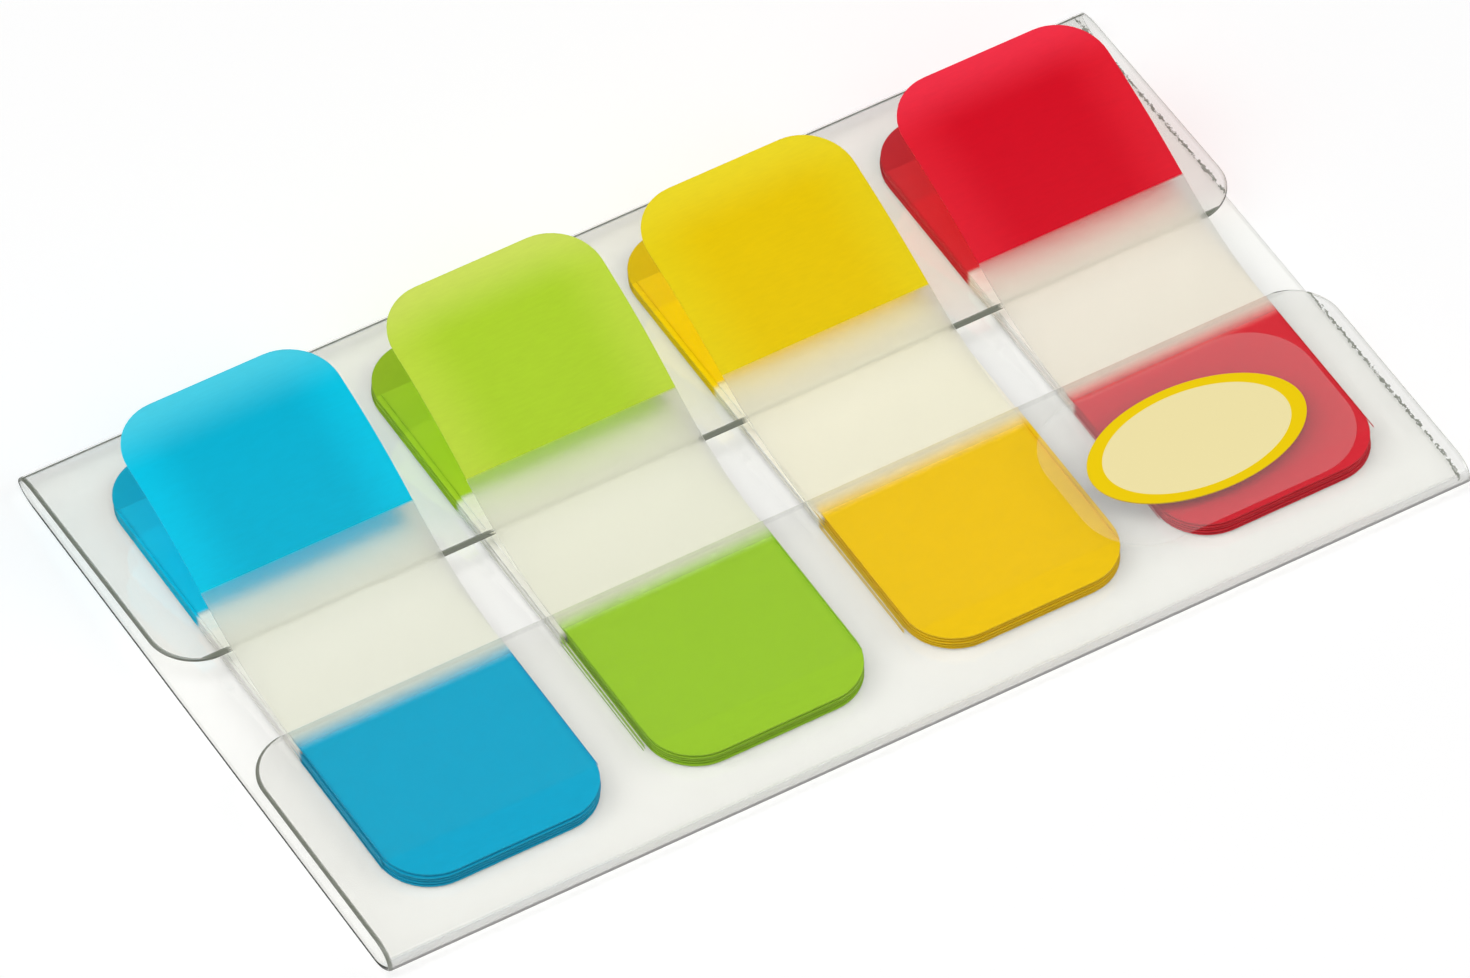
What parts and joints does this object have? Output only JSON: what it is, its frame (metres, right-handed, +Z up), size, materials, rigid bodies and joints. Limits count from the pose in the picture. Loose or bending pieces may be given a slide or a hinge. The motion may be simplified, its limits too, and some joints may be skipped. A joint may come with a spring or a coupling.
{
  "type": "sticky index tabs in a sleeve",
  "caption": "Flat folded sleeve of clear film with a slot along it and stacks of coloured index tabs inside, the top tab of each stack standing up through the slot.",
  "frame": {"origin": "on the surface it rests on, under the middle of the bounding box", "axes": "+X along the sleeve from the blue stack to the red one, +Y across the slot from the near fold to the far fold, towards which the raised tabs point, +Z up out of the slot"},
  "size_m": [0.082, 0.049, 0.0086],
  "materials": {
    "film": "clear film, glossy",
    "label": "clear label film with a plain printed shape",
    "tab_blue": "matte film, clear over its adhesive end and printed in a plain colour at its round end",
    "tab_green": "matte film, clear over its adhesive end and printed in a plain colour at its round end",
    "tab_yellow": "matte film, clear over its adhesive end and printed in a plain colour at its round end",
    "tab_red": "matte film, clear over its adhesive end and printed in a plain colour at its round end"
  },
  "bodies": {
    "root": {"sleeve": "film", "label": "label", "blue_tab_01": "tab_blue", "blue_tab_02": "tab_blue", "blue_tab_03": "tab_blue", "blue_tab_04": "tab_blue", "blue_tab_05": "tab_blue", "blue_tab_06": "tab_blue", "blue_tab_07": "tab_blue", "blue_tab_08": "tab_blue", "blue_tab_09": "tab_blue", "blue_tab_raised": "tab_blue", "green_tab_01": "tab_green", "green_tab_02": "tab_green", "green_tab_03": "tab_green", "green_tab_04": "tab_green", "green_tab_05": "tab_green", "green_tab_06": "tab_green", "green_tab_07": "tab_green", "green_tab_08": "tab_green", "green_tab_09": "tab_green", "green_tab_raised": "tab_green", "yellow_tab_01": "tab_yellow", "yellow_tab_02": "tab_yellow", "yellow_tab_03": "tab_yellow", "yellow_tab_04": "tab_yellow", "yellow_tab_05": "tab_yellow", "yellow_tab_06": "tab_yellow", "yellow_tab_07": "tab_yellow", "yellow_tab_08": "tab_yellow", "yellow_tab_09": "tab_yellow", "yellow_tab_raised": "tab_yellow", "red_tab_01": "tab_red", "red_tab_02": "tab_red", "red_tab_03": "tab_red", "red_tab_04": "tab_red", "red_tab_05": "tab_red", "red_tab_06": "tab_red", "red_tab_07": "tab_red", "red_tab_08": "tab_red", "red_tab_09": "tab_red", "red_tab_raised": "tab_red"}
  },
  "joints": []
}
